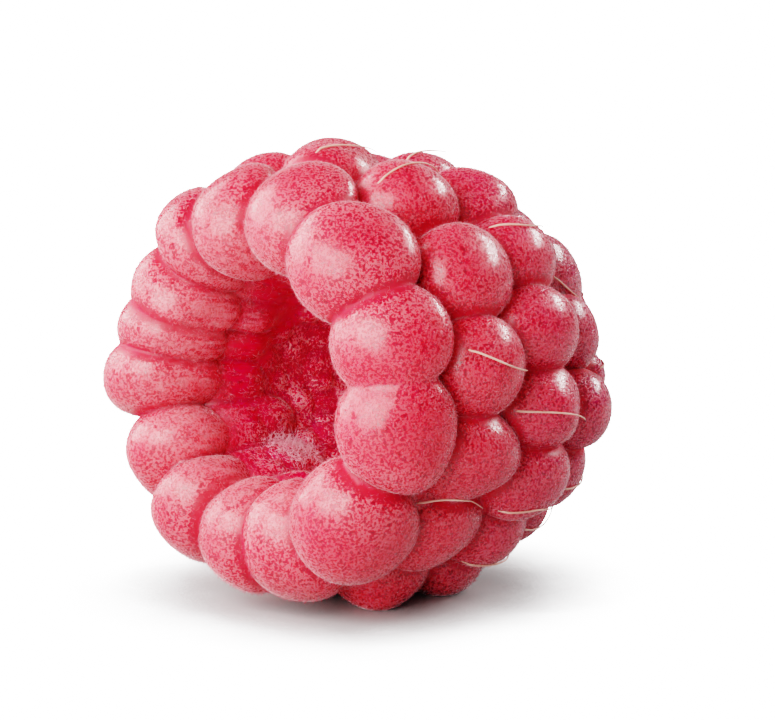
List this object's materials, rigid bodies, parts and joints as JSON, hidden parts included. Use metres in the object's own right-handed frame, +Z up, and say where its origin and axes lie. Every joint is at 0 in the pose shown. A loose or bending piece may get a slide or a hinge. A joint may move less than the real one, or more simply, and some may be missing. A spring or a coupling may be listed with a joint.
{
  "type": "raspberry",
  "caption": "Ripe red raspberry as picked, lying on its side: a cup of velvety drupelets round an open hollow.",
  "frame": {"origin": "on the surface the berry lies on, under the centre of its bounding box", "axes": "+Z up from the surface, -Y towards the side the hollow opens to, +Y towards the tip"},
  "size_m": [0.022, 0.0218, 0.0216],
  "materials": {
    "flesh": "ripe translucent red flesh, velvety with short pale down",
    "down": "short fine pale hairs",
    "style": "dry, fine, pale tan"
  },
  "bodies": {
    "root": {"raspberry": "flesh"}
  },
  "joints": []
}
